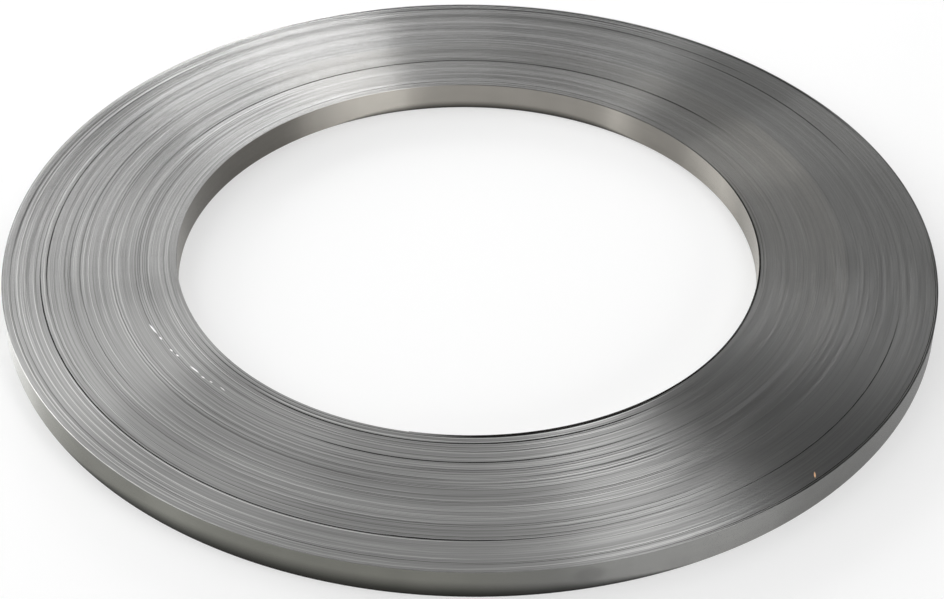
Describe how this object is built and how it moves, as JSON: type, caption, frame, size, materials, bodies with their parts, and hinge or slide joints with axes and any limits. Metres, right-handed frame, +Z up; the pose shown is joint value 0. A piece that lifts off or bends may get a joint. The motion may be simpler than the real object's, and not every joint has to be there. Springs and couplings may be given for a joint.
{
  "type": "steel strip coil",
  "caption": "Flat ribbon-wound coil of bright cold-rolled narrow steel strip, wound on edge round an open bore.",
  "frame": {"origin": "centre of the bore on the plane that the coil lies on", "axes": "+Z up along the bore's axis; +X to the right and +Y away in the reference view"},
  "size_m": [0.6398, 0.6399, 0.0204],
  "materials": {
    "strip": "bright cold-rolled, with slit edges"
  },
  "bodies": {
    "root": {"strip_coil": "strip"}
  },
  "joints": []
}
